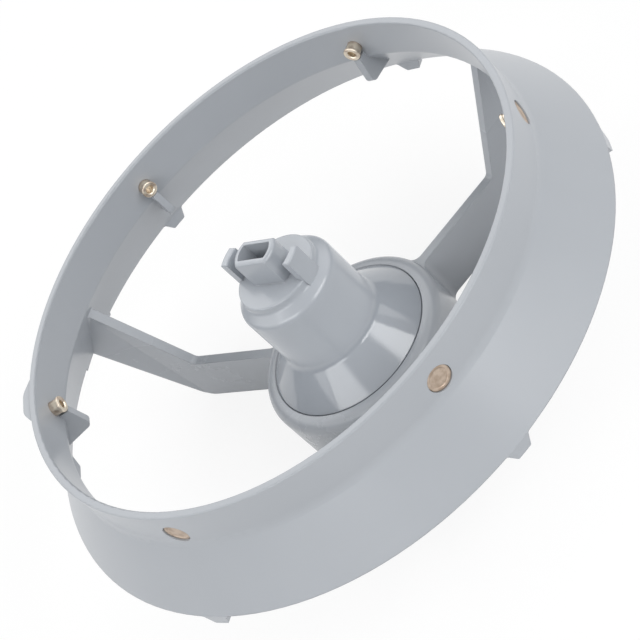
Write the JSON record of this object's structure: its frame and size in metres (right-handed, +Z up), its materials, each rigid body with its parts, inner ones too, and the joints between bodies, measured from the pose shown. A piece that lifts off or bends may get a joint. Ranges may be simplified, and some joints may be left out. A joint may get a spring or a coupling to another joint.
{
  "type": "food processor drive ring",
  "caption": "Flared plastic drive ring on bent spokes, with a central coupling that has a double-D socket and dogs, and metal pins pressed through the rim.",
  "frame": {"origin": "on the drive axis, at the base plane that the hub and spokes stand on", "axes": "+Z up along the drive axis towards the socket, +X along spoke 1"},
  "size_m": [0.1842, 0.1842, 0.063],
  "materials": {
    "ring_plastic": "light cool grey moulded plastic, satin to gloss",
    "coupling_plastic": "light cool grey moulded plastic, gloss",
    "pin_metal": "dull copper-tan metal"
  },
  "bodies": {
    "root": {"drive_ring": "ring_plastic", "drive_coupling": "coupling_plastic", "drive_pin_1": "pin_metal", "drive_pin_2": "pin_metal", "drive_pin_3": "pin_metal", "drive_pin_4": "pin_metal", "drive_pin_5": "pin_metal", "drive_pin_6": "pin_metal"}
  },
  "joints": []
}
